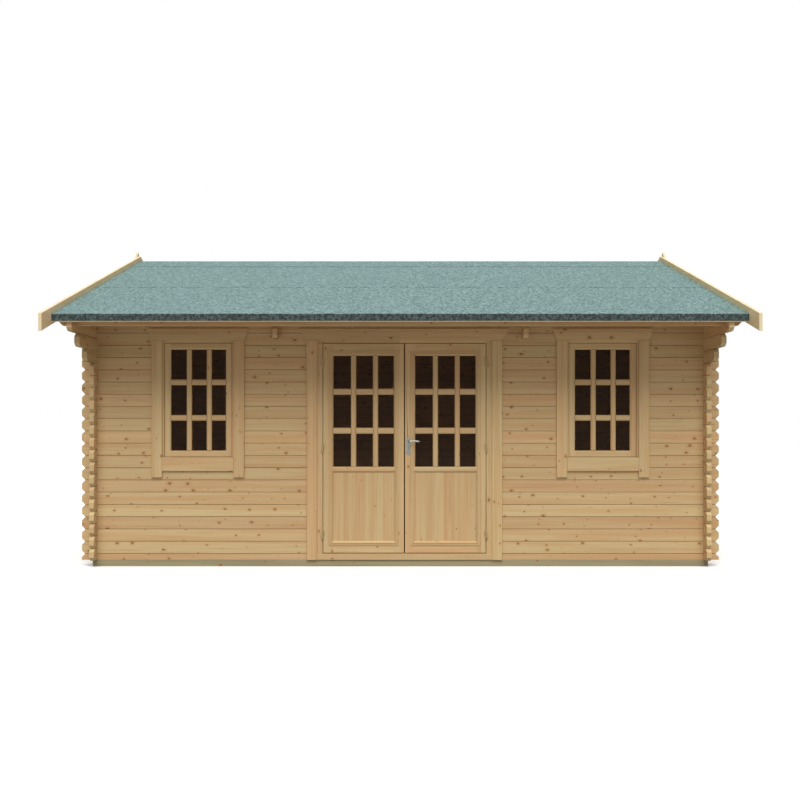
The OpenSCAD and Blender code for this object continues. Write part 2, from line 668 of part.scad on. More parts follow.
module sash_at(x) color(pine) at_base() translate([x, sash_setback - half_d, 0]) difference() {
    block(-sash_outer_w / 2, sash_outer_w / 2, 0, sash_t, window_sill + sash_gap, window_head - sash_gap);
    splayed_hole(-sash_outer_w / 2 + sash_w, sash_outer_w / 2 - sash_w,
                 window_sill + sash_gap + sash_w, window_head - sash_gap - sash_w, sash_t);
}
module left_sash() sash_at(-window_x);
module right_sash() sash_at(window_x);
module window_glass_at(x) color(pane) at_base() translate([x, sash_setback - half_d, 0])
    block(-sash_outer_w / 2 + sash_w, sash_outer_w / 2 - sash_w,
          (sash_t - glass_t) / 2, (sash_t + glass_t) / 2,
          window_sill + sash_gap + sash_w, window_head - sash_gap - sash_w);
module left_window_glass() window_glass_at(-window_x);
module right_window_glass() window_glass_at(window_x);

module window_trim_at(x) color(pine) at_base() translate([x, 0, 0]) {
    for (s = [-1, 1]) mirror([s > 0 ? 0 : 1, 0, 0])
        block(window_trim_in, window_trim_in + window_trim_w, -half_d - trim_t, -half_d,
              window_trim_z - window_bottom_trim_h - window_trim_tail,
              window_head + head_reveal - trim_joint);
    block(-window_trim_in + trim_joint, window_trim_in - trim_joint, -half_d - trim_t, -half_d,
          window_trim_z - window_bottom_trim_h, window_trim_z);
    head_trim(2 * (window_trim_in + window_trim_w), window_head_flare, window_head + head_reveal);
}
module left_window_trim() window_trim_at(-window_x);
module right_window_trim() window_trim_at(window_x);

front_bearer();
back_bearer();
floor_joists();
floor();
front_wall_left();
front_wall_right();
front_wall_top();
back_wall();
left_wall();
right_wall();
left_gable();
right_gable();
left_tie_log();
right_tie_log();
left_truss();
right_truss();
ridge_purlin();
front_purlin();
back_purlin();
front_eave_purlin();
back_eave_purlin();
front_roof_boards();
back_roof_boards();
front_felt();
back_felt();
ridge_felt();
front_fascia();
back_fascia();
left_bargeboards();
right_bargeboards();
left_finial();
right_finial();
door_frame();
door_sill();
door_trim();
frame_hinges();
left_leaf();
left_leaf_panel();
left_leaf_glass();
left_leaf_hinges();
right_leaf();
right_leaf_panel();
right_leaf_glass();
right_leaf_hinges();
lock_plates();
lever_handle();
left_window_frame();
left_window_trim();
left_sash();
left_window_glass();
right_window_frame();
right_window_trim();
right_sash();
right_window_glass();
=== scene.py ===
"""The looks of the log cabin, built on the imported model. Metres, in the model's own frame:
X along the front, the front faces -Y, Z up."""

import math

import bmesh
import bpy
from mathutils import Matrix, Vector


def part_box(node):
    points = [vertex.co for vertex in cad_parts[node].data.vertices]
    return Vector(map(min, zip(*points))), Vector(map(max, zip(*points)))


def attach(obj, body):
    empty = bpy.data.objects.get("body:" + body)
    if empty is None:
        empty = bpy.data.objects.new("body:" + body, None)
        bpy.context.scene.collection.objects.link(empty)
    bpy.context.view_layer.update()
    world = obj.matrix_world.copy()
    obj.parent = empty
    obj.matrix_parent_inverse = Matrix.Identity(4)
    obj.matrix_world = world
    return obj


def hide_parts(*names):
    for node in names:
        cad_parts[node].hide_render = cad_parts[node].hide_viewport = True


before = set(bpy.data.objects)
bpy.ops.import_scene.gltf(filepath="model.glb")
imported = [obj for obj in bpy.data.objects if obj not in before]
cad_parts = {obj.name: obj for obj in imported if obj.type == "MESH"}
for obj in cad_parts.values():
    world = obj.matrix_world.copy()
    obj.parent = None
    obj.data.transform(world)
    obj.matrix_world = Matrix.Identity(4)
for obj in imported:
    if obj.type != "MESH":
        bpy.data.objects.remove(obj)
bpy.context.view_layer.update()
X, Y, Z = Vector((1, 0, 0)), Vector((0, 1, 0)), Vector((0, 0, 1))

# ---------------------------------------------------------------- places taken from the frame
BASE_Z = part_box("front_bearer")[1].z
FRONT_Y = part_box("door_frame")[0].y
DOOR_X = (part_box("door_frame")[0].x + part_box("door_frame")[1].x) / 2
LEAF_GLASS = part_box("right_leaf_glass")
LEAVES = {"left": "left_door", "right": "right_door"}

# ---------------------------------------------------------------- sizes that the model has too
LOG_H = 0.114
ROOF_PITCH = math.radians(19.65)
ROOF_SLOPE = math.tan(ROOF_PITCH)
# The upright measure of a sheet on the slope, for each unit of its thickness.
PLUMB = 1 / math.cos(ROOF_PITCH)
BOARD_T, FELT_T = 0.020, 0.003
# Where the felt's courses lap, counted on plan from the eave, and the lap's width.
FELT_LAP_AT, FELT_LAP_W = 1.139, 0.08
# The sloped border round the glass and the panel of a leaf.
SPLAY_W = 0.014
WINDOW_TRIM_W, WINDOW_FLARE = 0.098, 0.040
TRIM_HEAD_Z = BASE_Z + 2.040
HEAD_Z = BASE_Z + 2.015
WINDOW_SILL_Z = BASE_Z + 0.955

# ---------------------------------------------------------------- sizes that only the looks have
ROOF_BOARD_W, FLOOR_BOARD_W, PANEL_BOARD_W = 0.096, 0.12, 0.0804
PANEL_BOARDS = 7
# Half the joint between two boards, or between two bars that meet.
GAP = 0.0004
# How far the glazing bars lie behind the faces of a leaf or sash, and their chamfers and rounding.
BAR_INSET, BAR_CHAMFER, BAR_ROUNDING = 0.004, 0.009, 0.0012
LEAF_BARS = dict(upright_w=0.048, level_w=0.056, narrowing=0.009)
WINDOW_BARS = dict(upright_w=0.047, level_w=0.053, narrowing=0.008)
# The planted moulding's profile: pairs of the distance from its outer edge, and the depth.
MOULDING = [(0.0, 0.0), (0.0, -0.0025), (0.004, -0.0045), (0.018, -0.0055), (0.026, -0.0085),
            (0.031, -0.0075), (0.031, 0.0)]


# ---------------------------------------------------------------- materials
class Graph:
    """A material's nodes, added one call at a time."""

    def __init__(self, name):
        self.material = bpy.data.materials.new(name)
        self.material.use_nodes = True
        tree = self.material.node_tree
        self.nodes, self.links = tree.nodes, tree.links
        self.shader = self.nodes["Principled BSDF"]

    def feed(self, socket, value):
        """Links the value to the socket, or sets it where it is a plain value."""
        if isinstance(value, bpy.types.NodeSocket):
            self.links.new(value, socket)
        elif value is not None:
            socket.default_value = value

    def add(self, kind, inputs, **settings):
        """A node of a kind, with its settings, and with its inputs by name or number."""
        node = self.nodes.new("ShaderNode" + kind)
        for key, value in settings.items():
            setattr(node, key, value)
        for key, value in inputs.items():
            self.feed(node.inputs[key], value)
        return node

    def math(self, operation, a, b=None, c=None):
        node = self.add("Math", {0: a}, operation=operation)
        if b is not None:
            self.feed(node.inputs[1], b)
        if c is not None:
            self.feed(node.inputs[2], c)
        return node.outputs[0]

    def mix(self, factor, a, b, blend="MIX"):
        node = self.add("Mix", {0: factor, 6: a, 7: b}, data_type="RGBA", blend_type=blend)
        return node.outputs[2]

    def step(self, value, low, high, to_low=0.0, to_high=1.0):
        """A smooth rise from to_low at low up to to_high at high."""
        inputs = {"Value": value, "From Min": low, "From Max": high, "To Min": to_low, "To Max": to_high}
        return self.add("MapRange", inputs, interpolation_type="SMOOTHSTEP").outputs[0]

    def join(self, x, y, z=0.0):
        return self.add("CombineXYZ", {0: x, 1: y, 2: z}).outputs[0]

    def split(self, vector):
        return self.add("SeparateXYZ", {0: vector}).outputs

    def noise(self, vector, detail=2.0, roughness=0.5, scale=1.0):
        inputs = {"Vector": vector, "Scale": scale, "Detail": detail, "Roughness": roughness}
        return self.add("TexNoise", inputs).outputs[0]

    def random(self, vector):
        """Three steady random numbers for each value of the vector."""
        colour = self.add("TexWhiteNoise", {"Vector": vector}, noise_dimensions="3D").outputs["Color"]
        return self.split(colour)

    def place(self):
        """Object coordinates, which are the model's own, and the surface's direction."""
        texture = self.add("TexCoord", {})
        return self.split(texture.outputs["Object"]), self.split(texture.outputs["Normal"])

    def bump(self, height, distance, strength=1.0):
        inputs = {"Height": height, "Distance": distance, "Strength": strength}
        self.feed(self.shader.inputs["Normal"], self.add("Bump", inputs).outputs[0])


def rgba(r, g, b):
    return (r, g, b, 1.0)


# How a kind of board lies: from the object coordinates to the distances along its grain, across it
# and through it, its number, the distance from its own middle line, and how far the surface faces
# along the grain.
def lie_logs(axis, joint_shift):
    """Logs that lie along an axis, with joints at (k + joint_shift) log heights over the base."""

    def lie(g, p, n):
        along, through, end = (p[0], p[1], n[0]) if axis == "x" else (p[1], p[0], n[1])
        across = g.math("SUBTRACT", p[2], BASE_Z)
        number = g.math("FLOOR", g.math("ADD", g.math("DIVIDE", across, LOG_H), 1 - joint_shift))
        middle = g.math("MULTIPLY", g.math("ADD", number, joint_shift - 0.5), LOG_H)
        side = g.math("SIGN", through)
        return along, across, through, g.join(number, side, 0.0), g.math("SUBTRACT", across, middle), end

    return lie


def lie_boards(axis, pitch=None, across_axis=None, level=None):
    """Boards along an axis. pitch numbers them across; level says where an upright frame's pieces are
    level instead, and so have their grain along X."""

    def lie(g, p, n):
        along_i = "xyz".index(axis)
        across_i = "xyz".index(across_axis) if across_axis else (0 if axis == "z" else 2)
        through_i = 3 - along_i - across_i
        along, across, through, end = p[along_i], p[across_i], p[through_i], n[along_i]
        if pitch:
            number = g.math("FLOOR", g.math("DIVIDE", across, pitch))
        else:
            number = g.math("ROUND", g.math("MULTIPLY", through, 3.0))
        if level:
            flag = level(g, p)

            def swap(a, b):
                return g.math("ADD", a, g.math("MULTIPLY", flag, g.math("SUBTRACT", b, a)))

            key = g.join(g.math("SIGN", p[0]), flag, g.math("FLOOR", g.math("MULTIPLY", p[2], 2.3)))
            side = g.join(g.math("FLOOR", g.math("MULTIPLY", p[0], 4.0)), 0.0, 7.0)
            number = g.mix(flag, side, key)
            return swap(p[2], p[0]), swap(p[0], p[2]), p[1], number, swap(p[0], p[2]), swap(n[2], n[0])
        return along, across, through, g.join(number, 3.0, 1.0), across, end

    return lie


PINE = dict(light=(0.65, 0.468, 0.240), warm=(0.615, 0.388, 0.186), dark=(0.44, 0.262, 0.112))
PALE = dict(light=(0.86, 0.70, 0.43), warm=(0.82, 0.61, 0.34), dark=(0.62, 0.42, 0.21))
TREATED = dict(light=(0.43, 0.37, 0.21), warm=(0.36, 0.315, 0.185), dark=(0.22, 0.19, 0.10))
KNOT = (0.30, 0.115, 0.040)
KNOT_HALO = (0.46, 0.235, 0.095)
# The cells of the net that hold one chance of a knot each, along and across the grain.
KNOT_NET = (0.21, 0.062)
RINGS_PER_METRE = 170.0
END_RING_W = 0.0055
# Painted shade in the joint between two logs starts and is full at these distances from the edge of a log's
# face.
JOINT_SHADE_START, JOINT_SHADE_FULL = 0.0050, 0.0015


def wood(name, lie, tint=PINE, knots=0.5, knot_size=1.0, rough=0.62, tone=0.07, joint_shade_pitch=None):
    """Planed softwood: year rings, fibres, warm streaks, knots that the rings flow round, end grain,
    and a tone of its own for each board. knots is the share of cells with a knot, and the last
    argument the height of logs that get painted shade in the joint between them."""
    g = Graph(name)
    p, n = g.place()
    along, across, through, number, middle, end_normal = lie(g, p, n)
    r = g.random(number)
    shifted = g.math("ADD", along, g.math("MULTIPLY", r[0], 37.0))
    over = g.math("ADD", across, g.math("MULTIPLY", r[1], 5.0))

    # Knots: one feature point in each cell of a net, measured in real metres.
    net_along, net_across = KNOT_NET
    net = g.join(g.math("DIVIDE", shifted, net_along), g.math("DIVIDE", over, net_across))
    cell = g.add("TexVoronoi", {"Vector": net, "Scale": 1.0}, voronoi_dimensions="2D")
    spot = g.split(cell.outputs["Position"])
    luck = g.split(cell.outputs["Color"])
    dx = g.math("MULTIPLY", g.math("SUBTRACT", shifted, g.math("MULTIPLY", spot[0], net_along)), 0.72)
    dy = g.math("SUBTRACT", over, g.math("MULTIPLY", spot[1], net_across))
    wobble = g.noise(g.join(shifted, over, through), scale=70.0)
    away = g.math("SQRT", g.math("ADD", g.math("MULTIPLY", dx, dx), g.math("MULTIPLY", dy, dy)))
    away = g.math("MULTIPLY", away, g.math("ADD", 0.7, g.math("MULTIPLY", wobble, 0.6)))
    size = g.math("MULTIPLY_ADD", g.math("POWER", luck[1], 2.0), 0.0095 * knot_size, 0.0030 * knot_size)
    present = g.math("LESS_THAN", luck[0], knots)
    core = g.math("MULTIPLY", g.step(g.math("DIVIDE", away, size), 0.35, 1.1, 1.0, 0.0), present)
    halo = g.math("MULTIPLY", g.step(g.math("DIVIDE", away, size), 0.6, 2.6, 1.0, 0.0), present)

    # Year rings on the face, bent by slow noise and by the knots.
    drift = g.noise(g.join(g.math("MULTIPLY", shifted, 0.9), g.math("MULTIPLY", over, 7.0), through), 2.0)
    swell = g.math("MULTIPLY", g.math("MULTIPLY", halo, halo), 1.6)
    bend = g.math("MULTIPLY_ADD", drift, 9.0, swell)
    phase = g.math("MULTIPLY_ADD", over, RINGS_PER_METRE, bend)
    rings = g.math("MULTIPLY_ADD", g.math("SINE", g.math("MULTIPLY", phase, 2 * math.pi)), 0.5, 0.5)
    rings = g.math("POWER", rings, 2.0)
    fibre_place = g.join(g.math("MULTIPLY", shifted, 7.0), g.math("MULTIPLY", over, 650.0),
                         g.math("MULTIPLY", through, 650.0))
    fibres = g.noise(fibre_place, 2.0, 0.6)
    streak_place = g.join(g.math("MULTIPLY", shifted, 0.55), g.math("MULTIPLY", over, 16.0),
                          g.math("MULTIPLY", through, 16.0))
    streaks = g.noise(streak_place, 3.0, 0.55)
    figure_place = g.join(g.math("MULTIPLY", shifted, 1.4), g.math("MULTIPLY", over, 62.0),
                          g.math("MULTIPLY", through, 62.0))
    figure = g.noise(figure_place, 3.0, 0.65)

    # End grain: arcs round a pith that lies near each board.
    pith_y = g.math("SUBTRACT", middle, g.math("MULTIPLY_ADD", r[2], 0.10, -0.05))
    pith_z = g.math("SUBTRACT", g.math("FRACT", through), r[0])
    arc = g.math("ADD", g.math("MULTIPLY", pith_y, pith_y), g.math("MULTIPLY", pith_z, pith_z))
    arc = g.math("SQRT", arc)
    arc = g.math("MULTIPLY_ADD", g.noise(g.join(along, across, through), scale=9.0), 0.01, arc)
    arcs = g.math("MULTIPLY_ADD", g.math("SINE", g.math("MULTIPLY", arc, 2 * math.pi / END_RING_W)), 0.5, 0.5)
    pores = g.noise(g.join(along, across, through), 3.0, 0.7, scale=220.0)
    end = g.math("GREATER_THAN", g.math("ABSOLUTE", end_normal), 0.6)

    light, warm, dark = (rgba(*tint[key]) for key in ("light", "warm", "dark"))
    face = g.mix(g.step(streaks, 0.38, 0.66), light, warm)
    face = g.mix(g.step(figure, 0.50, 0.72, 0.0, 0.42), face, dark)
    face = g.mix(g.math("MULTIPLY", rings, 0.26), face, dark)
    face = g.mix(g.step(fibres, 0.45, 0.8, 0.0, 0.22), face, dark)
    face = g.mix(g.math("MULTIPLY", halo, 0.55), face, rgba(*KNOT_HALO))
    face = g.mix(core, face, rgba(*KNOT))
    ends = g.mix(g.math("MULTIPLY", arcs, 0.30), light, dark)
    ends = g.mix(g.step(pores, 0.5, 0.75, 0.0, 0.25), ends, dark)
    colour = g.mix(end, face, ends)
    shade = g.math("MULTIPLY_ADD", r[2], 2 * tone, 1.0 - tone)
    blush = g.math("MULTIPLY_ADD", r[1], 0.12, 0.95)
    if joint_shade_pitch:
        # Painted shade in the joint between logs: a band at the edge of each log's face, darkened by a random
        # amount.
        edge = g.math("ABSOLUTE", middle)
        joint_shade_factor = g.math("MULTIPLY_ADD", r[0], 0.38, 0.48)
        line = g.step(edge, joint_shade_pitch / 2 - JOINT_SHADE_START, joint_shade_pitch / 2 - JOINT_SHADE_FULL)
        painted_joint_shade = g.math("MULTIPLY_ADD", line, g.math("SUBTRACT", joint_shade_factor, 1.0), 1.0)
        shade = g.math("MULTIPLY", shade, painted_joint_shade)
    toned = g.join(shade, g.math("MULTIPLY", shade, blush), g.math("MULTIPLY", shade, blush))
    colour = g.mix(1.0, colour, toned, "MULTIPLY")
    g.feed(g.shader.inputs["Base Color"], colour)
    g.feed(g.shader.inputs["Roughness"], g.step(rings, 0.0, 1.0, rough + 0.06, rough - 0.08))
    g.shader.inputs["Specular IOR Level"].default_value = 0.32
    height = g.math("MULTIPLY_ADD", rings, 0.35, g.math("MULTIPLY", fibres, 0.6))
    g.bump(g.math("ADD", height, core), 0.0005, 0.6)
    return g.material


def between(g, value, low, high):
    return g.math("MULTIPLY", g.math("GREATER_THAN", value, low), g.math("LESS_THAN", value, high))


def level_above(z):
    """Level over a height."""
    return lambda g, p: g.math("GREATER_THAN", p[2], z)


def level_outside(z0, z1):
    """Level under z0 and over z1."""
    return lambda g, p: g.math("MAXIMUM", g.math("LESS_THAN", p[2], z0), g.math("GREATER_THAN", p[2], z1))


def level_inside(middle, x0, x1):
    """Level where the distance from the middle is between x0 and x1."""
    return lambda g, p: between(g, g.math("ABSOLUTE", g.math("SUBTRACT", p[0], middle)), x0, x1)


def level_window_trim(g, p):
    """Level between the two upright pieces of a window's trim, and over them."""
    trim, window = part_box("right_window_trim"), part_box("right_window_frame")
    centre = (window[0].x + window[1].x) / 2
    inner = (trim[1].x - trim[0].x) / 2 - WINDOW_TRIM_W - WINDOW_FLARE
    near = g.math("ABSOLUTE", g.math("SUBTRACT", g.math("ABSOLUTE", p[0]), centre))
    return g.math("MAXIMUM", g.math("LESS_THAN", near, inner), g.math("GREATER_THAN", p[2], TRIM_HEAD_Z))


def level_sash(g, p):
    """Level between the two upright pieces of a sash."""
    sash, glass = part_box("right_sash"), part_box("right_window_glass")
    centre = (sash[0].x + sash[1].x) / 2
    near = g.math("ABSOLUTE", g.math("SUBTRACT", g.math("ABSOLUTE", p[0]), centre))
    return g.math("LESS_THAN", near, glass[1].x - centre)


def felt_material():
    """Mineral felt: green granules in uneven clumps, with a pale bloom at a low angle, and painted shade
    that darkens it where it hangs upright."""
    g = Graph("green_mineral_felt")
    p, n = g.place()
    place = g.join(p[0], p[1], p[2])
    grit = g.add("TexVoronoi", {"Vector": place, "Scale": 420.0})
    tones = g.split(grit.outputs["Color"])
    coarse = g.noise(place, 2.0, 0.7, scale=75.0)
    mottle = g.noise(place, 3.0, 0.6, scale=5.0)
    clumps = g.noise(place, 3.0, 0.75, scale=34.0)
    colour = g.mix(g.step(tones[0], 0.1, 0.9), rgba(0.035, 0.056, 0.052), rgba(0.085, 0.125, 0.118))
    colour = g.mix(g.step(tones[1], 0.86, 0.92, 0.0, 0.7), colour, rgba(0.26, 0.33, 0.32))
    colour = g.mix(g.step(coarse, 0.46, 0.58, 0.0, 0.75), colour, rgba(0.20, 0.29, 0.28))
    colour = g.mix(g.step(clumps, 0.50, 0.57, 0.0, 0.8), colour, rgba(0.31, 0.43, 0.42))
    colour = g.mix(g.step(clumps, 0.40, 0.47, 0.75, 0.0), colour, rgba(0.022, 0.038, 0.036))
    colour = g.mix(g.step(mottle, 0.3, 0.75, 0.0, 0.2), colour, rgba(0.09, 0.14, 0.135))
    # Painted shade: faces that hang upright get 0.3 of the colour, level faces all of it.
    upright = g.step(g.math("ABSOLUTE", n[2]), 0.2, 0.8, 0.30, 1.0)
    colour = g.mix(1.0, colour, g.join(upright, upright, upright), "MULTIPLY")
    g.feed(g.shader.inputs["Base Color"], colour)
    g.shader.inputs["Roughness"].default_value = 0.85
    g.shader.inputs["Specular IOR Level"].default_value = 0.5
    g.shader.inputs["Sheen Weight"].default_value = 1.0
    g.shader.inputs["Sheen Roughness"].default_value = 0.40
    g.shader.inputs["Sheen Tint"].default_value = rgba(0.56, 0.96, 0.93)
    height = g.math("MULTIPLY_ADD", grit.outputs["Distance"], -0.3, coarse)
    g.bump(height, 0.005, 0.9)
    return g.material


def glass_material():
    """Clear glass with a warm tint and a faint ripple."""
    g = Graph("window_glass")
    p, _ = g.place()
    ripple = g.noise(g.join(p[0], p[1], p[2]), 1.0, scale=2.5)
    g.shader.inputs["Base Color"].default_value = rgba(0.82, 0.56, 0.36)
    g.shader.inputs["Roughness"].default_value = 0.02
    g.shader.inputs["IOR"].default_value = 1.18
    g.shader.inputs["Transmission Weight"].default_value = 0.985
    g.bump(ripple, 0.0004, 0.2)
    return g.material


def steel_material():
    """Satin plated steel with fine brushing and duller patches."""
    g = Graph("satin_steel")
    p, _ = g.place()
    brush = g.noise(g.join(g.math("MULTIPLY", p[0], 60.0), g.math("MULTIPLY", p[1], 60.0),
                           g.math("MULTIPLY", p[2], 1500.0)), 2.0, 0.6)
    patch = g.noise(g.join(p[0], p[1], p[2]), 2.0, 0.5, scale=35.0)
    colour = g.mix(g.step(patch, 0.3, 0.7), rgba(0.44, 0.47, 0.43), rgba(0.56, 0.58, 0.54))
    g.feed(g.shader.inputs["Base Color"], colour)
    g.shader.inputs["Metallic"].default_value = 0.9
    g.feed(g.shader.inputs["Roughness"], g.step(brush, 0.25, 0.75, 0.30, 0.44))
    g.bump(brush, 0.00008, 0.4)
    return g.material


def hinge_material():
    """Yellow passivated steel, dulled by handling."""
    g = Graph("yellow_passivated_steel")
    p, _ = g.place()
    patch = g.noise(g.join(p[0], p[1], p[2]), 3.0, 0.6, scale=120.0)
    g.feed(g.shader.inputs["Base Color"], g.mix(patch, rgba(0.42, 0.30, 0.14), rgba(0.58, 0.44, 0.24)))
    g.feed(g.shader.inputs["Roughness"], g.step(patch, 0.3, 0.7, 0.38, 0.55))
    g.shader.inputs["Metallic"].default_value = 0.5
    g.bump(patch, 0.0001, 0.4)
    return g.material


def hole_shade_material():
    """Near black steel: painted shade that stands in for the hollows of the key way and the screw slots."""
    g = Graph("painted_hole_shade_steel")
    p, _ = g.place()
    patch = g.noise(g.join(p[0], p[1], p[2]), 2.0, 0.5, scale=300.0)
    g.feed(g.shader.inputs["Base Color"], g.mix(patch, rgba(0.02, 0.02, 0.02), rgba(0.05, 0.05, 0.045)))
    g.shader.inputs["Roughness"].default_value = 0.5
    g.shader.inputs["Metallic"].default_value = 0.6
    return g.material


MATERIALS = {
    "long_logs": wood("pine_logs_along_x", lie_logs("x", 0.5), joint_shade_pitch=LOG_H),
    "side_logs": wood("pine_logs_along_y", lie_logs("y", 0.0), joint_shade_pitch=LOG_H),
    "beams_x": wood("pine_beams_along_x", lie_boards("x"), knots=0.35),
    "truss": wood("pine_truss", lie_boards("y"), knots=0.35),
    "roof": wood("pine_roof_boards", lie_boards("y", pitch=ROOF_BOARD_W, across_axis="x"), tone=0.14),
    "floor": wood("pine_floor_boards", lie_boards("x", pitch=FLOOR_BOARD_W, across_axis="y"), tone=0.12),
    "treated": wood("treated_pine", lie_boards("x"), TREATED, knots=0.3, rough=0.8, tone=0.12),
    "joists": wood("treated_joists", lie_boards("y"), TREATED, knots=0.3, rough=0.8, tone=0.12),
    "pale_x": wood("pale_pine_along_x", lie_boards("x"), PALE, knots=0.1, knot_size=0.6),
    "pale_y": wood("pale_pine_along_y", lie_boards("y"), PALE, knots=0.12, knot_size=0.6),
    "level": wood("joinery_pine_level", lie_boards("x"), knots=0.25, knot_size=0.6),
    "upright": wood("joinery_pine_upright", lie_boards("z"), knots=0.25, knot_size=0.6),
    "panel": wood("joinery_pine_boards", lie_boards("z", pitch=PANEL_BOARD_W, across_axis="x"),
                  knots=0.55, knot_size=0.45, tone=0.03),
    "door_frame": wood("pine_door_frame", lie_boards("z", level=level_above(HEAD_Z)), knots=0.25),
    "door_trim": wood("pine_door_trim", lie_boards("z", level=level_above(TRIM_HEAD_Z)), knots=0.3),
    "window_frame": wood("pine_window_frame", lie_boards("z", level=level_outside(WINDOW_SILL_Z, HEAD_Z)),
                         knots=0.25),
    "window_trim": wood("pine_window_trim", lie_boards("z", level=level_window_trim), knots=0.3),
    "sash": wood("pine_sash", lie_boards("z", level=level_sash), knots=0.2, knot_size=0.6),
    "leaf": wood("pine_door_leaf", lie_boards("z", level=level_inside(
        DOOR_X, LEAF_GLASS[0].x - DOOR_X, LEAF_GLASS[1].x - DOOR_X)), knots=0.25, knot_size=0.7),
    "felt": felt_material(),
    "glass": glass_material(),
    "steel": steel_material(),
    "hinge": hinge_material(),
    # Painted shade for the key way and the screw slots.
    "dark": hole_shade_material(),
}

# Which material each CAD node that stays gets, and how far its edges are rounded.
NODE_LOOKS = {
    "long_logs": (0.0015, ["front_wall_left", "front_wall_right", "front_wall_top", "back_wall"]),
    "side_logs": (0.0015, ["left_wall", "right_wall", "left_gable", "right_gable",
                           "left_tie_log", "right_tie_log"]),
    "beams_x": (0.002, ["ridge_purlin", "front_purlin", "back_purlin", "front_eave_purlin",
                        "back_eave_purlin"]),
    "truss": (0.002, ["left_truss", "right_truss"]),
    "treated": (0.002, ["front_bearer", "back_bearer"]),
    "joists": (0.002, ["floor_joists"]),
    "pale_x": (0.002, ["front_fascia", "back_fascia"]),
    "pale_y": (0.003, ["left_bargeboards", "right_bargeboards", "left_finial", "right_finial"]),
    "level": (0.003, ["door_sill"]),
    "door_frame": (0.002, ["door_frame"]),
    "door_trim": (0.003, ["door_trim"]),
    "window_frame": (0.002, ["left_window_frame", "right_window_frame"]),
    "window_trim": (0.003, ["left_window_trim", "right_window_trim"]),
    "sash": (0.002, ["left_sash", "right_sash"]),
    "leaf": (0.002, ["left_leaf", "right_leaf"]),
    "glass": (0.0, ["left_leaf_glass", "right_leaf_glass", "left_window_glass", "right_window_glass"]),
    "hinge": (0.0012, ["frame_hinges", "left_leaf_hinges", "right_leaf_hinges"]),
    "steel": (0.0012, ["lock_plates"]),
}


def soften(obj, width):
    """Rounds the sharp edges of a piece. Weld first, since the model's faces don't share corners."""
    weld = obj.modifiers.new("weld", "WELD")
    weld.merge_threshold = 0.00002
    bevel = obj.modifiers.new("round_edges", "BEVEL")
    bevel.width = width
    bevel.segments = 2
    bevel.limit_method = "ANGLE"
    bevel.angle_limit = math.radians(30)
    bevel.harden_normals = True


def dress_cad_nodes():
    """Gives each CAD node its material and rounds its edges."""
    for look, (width, names) in NODE_LOOKS.items():
        for name in names:
            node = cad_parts[name]
            for i in range(len(node.data.materials)):
                node.data.materials[i] = MATERIALS[look]
            if width:
                soften(node, width)


